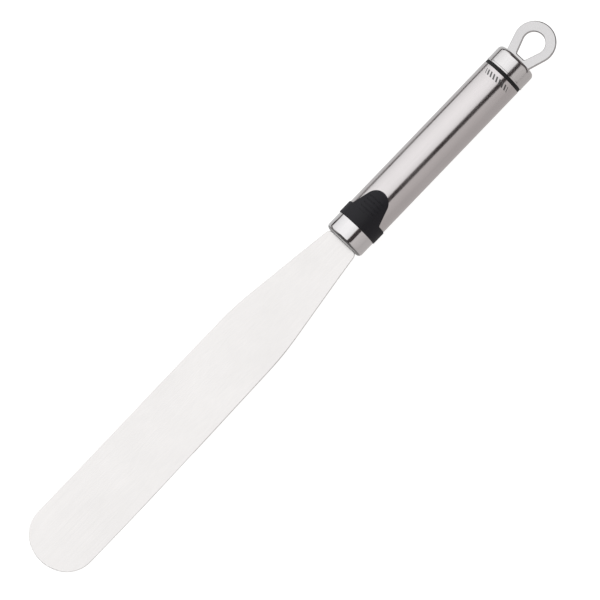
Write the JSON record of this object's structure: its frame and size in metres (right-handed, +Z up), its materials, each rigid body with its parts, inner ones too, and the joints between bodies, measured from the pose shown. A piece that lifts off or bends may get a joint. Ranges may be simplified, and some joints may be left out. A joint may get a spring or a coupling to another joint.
{
  "type": "icing spatula",
  "caption": "Straight icing spatula: long flexible round-tipped steel blade, round brushed steel handle with a soft thumb grip, and a flat hanging loop.",
  "frame": {"origin": "middle of the underside of the whole tool; the handle's axis is 11.4 mm above it", "axes": "+X along the handle's axis towards the hanging loop, blade tip at -X; +Y across the blade; +Z up, the side that the thumb tongue is on"},
  "size_m": [0.3582, 0.036, 0.0228],
  "materials": {
    "blade_steel": "fine satin",
    "cap_steel": "semi-polished",
    "tube_steel": "satin, brushed lengthways",
    "loop_steel": "tumbled satin",
    "fastener_steel": "plain",
    "grip_rubber": "matte, finely moulded",
    "seal_rubber": "matte",
    "core_plastic": "as moulded"
  },
  "bodies": {
    "root": {"blade": "blade_steel", "front_cap": "cap_steel", "core_upper_half": "core_plastic", "core_lower_half": "core_plastic", "tang_rivets": "fastener_steel", "rivet_washers": "fastener_steel", "grip_collar": "grip_rubber", "handle_tube": "tube_steel", "seal_ring": "seal_rubber", "rear_plug": "core_plastic", "end_cap": "cap_steel", "hanging_loop": "loop_steel", "loop_pin": "fastener_steel"}
  },
  "joints": []
}
